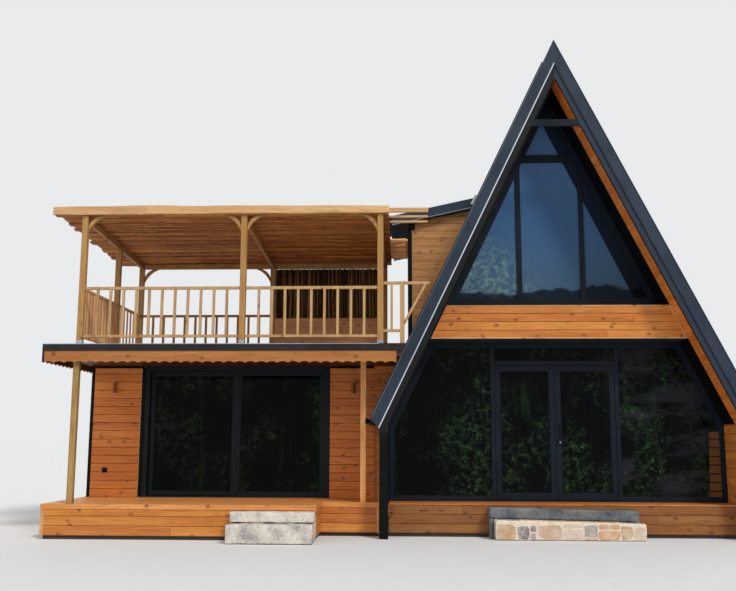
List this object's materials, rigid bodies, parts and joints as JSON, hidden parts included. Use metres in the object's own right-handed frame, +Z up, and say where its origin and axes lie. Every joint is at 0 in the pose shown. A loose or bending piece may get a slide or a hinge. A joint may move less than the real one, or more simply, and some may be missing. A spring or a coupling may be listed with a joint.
{
  "type": "a-frame cabin",
  "caption": "Steep A-frame cabin with a kneed glazed front, a side wing with a sliding door, a roof terrace and a reed-roofed pergola.",
  "frame": {"origin": "on the ground, in the middle of the underside of the A-frame's foundation", "axes": "+X to the right across the front, +Y from the front to the back, +Z up"},
  "size_m": [10.882, 9.27, 7.8069],
  "materials": {
    "cladding": "stained pine boards",
    "pale_timber": "pale sawn timber",
    "dark_frame": "satin anthracite",
    "roof_metal": "satin slate blue sheet",
    "glass": "dark clear",
    "step_stone": "split grey stone",
    "concrete": "rough concrete",
    "reed": "dry reed and bark slabs",
    "handle_metal": "brushed"
  },
  "bodies": {
    "cabin": {"foundation": "concrete", "cabin_floor": "cladding", "deck": "cladding", "plinth_cladding": "cladding", "side_wall_right": "cladding", "side_wall_left": "cladding", "corner_posts": "dark_frame", "roof_right": "roof_metal", "roof_left": "roof_metal", "rake_right": "roof_metal", "rake_left": "roof_metal", "soffit": "cladding", "ridge_cap": "roof_metal", "collar_tie": "dark_frame", "spandrel": "cladding", "loft_floor": "cladding", "upper_window_frame": "dark_frame", "front_frame_right": "dark_frame", "front_frame_left": "dark_frame", "door_head": "dark_frame", "rear_wall": "cladding", "wing_front_wall": "cladding", "wing_end_wall": "cladding", "wing_rear_wall": "cladding", "dormer_end_walls": "cladding", "dormer_side_wall": "cladding", "dormer_roof": "roof_metal", "window_frames": "dark_frame", "window_glass": "glass", "slider_frame": "dark_frame", "fixed_glass": "glass", "eave_gutters": "roof_metal", "terrace_slab": "pale_timber", "terrace_fascia": "cladding", "terrace_edge": "roof_metal", "porch_posts": "pale_timber", "pergola_posts": "pale_timber", "pergola_rafters": "pale_timber", "reed_roof": "reed", "roof_edge_boards": "pale_timber", "pergola_braces": "pale_timber", "railing_front": "pale_timber", "railing_side": "pale_timber", "railing_rear": "pale_timber", "low_wall": "pale_timber", "reed_screen": "reed", "wing_steps": "step_stone", "cabin_steps": "step_stone", "wall_lamps": "dark_frame"},
    "right_door": {"door_leaf_right": "dark_frame", "door_glass_right": "glass", "door_handle": "handle_metal"},
    "left_door": {"door_leaf_left": "dark_frame", "door_glass_left": "glass"},
    "sliding_door": {"slider_leaf": "dark_frame", "slider_glass": "glass"}
  },
  "joints": [
    {"name": "right_door_hinge", "type": "hinge", "parent": "cabin", "child": "right_door", "pos_m": [0.9575, -3.199, 0.53], "axis": [0, 0, -1], "range_deg": [0, 90]},
    {"name": "left_door_hinge", "type": "hinge", "parent": "cabin", "child": "left_door", "pos_m": [-0.9575, -3.199, 0.53], "axis": [0, 0, 1], "range_deg": [0, 90]},
    {"name": "sliding_door_slide", "type": "slide", "parent": "cabin", "child": "sliding_door", "axis": [1, 0, 0], "range_m": [0, 1.41]}
  ]
}
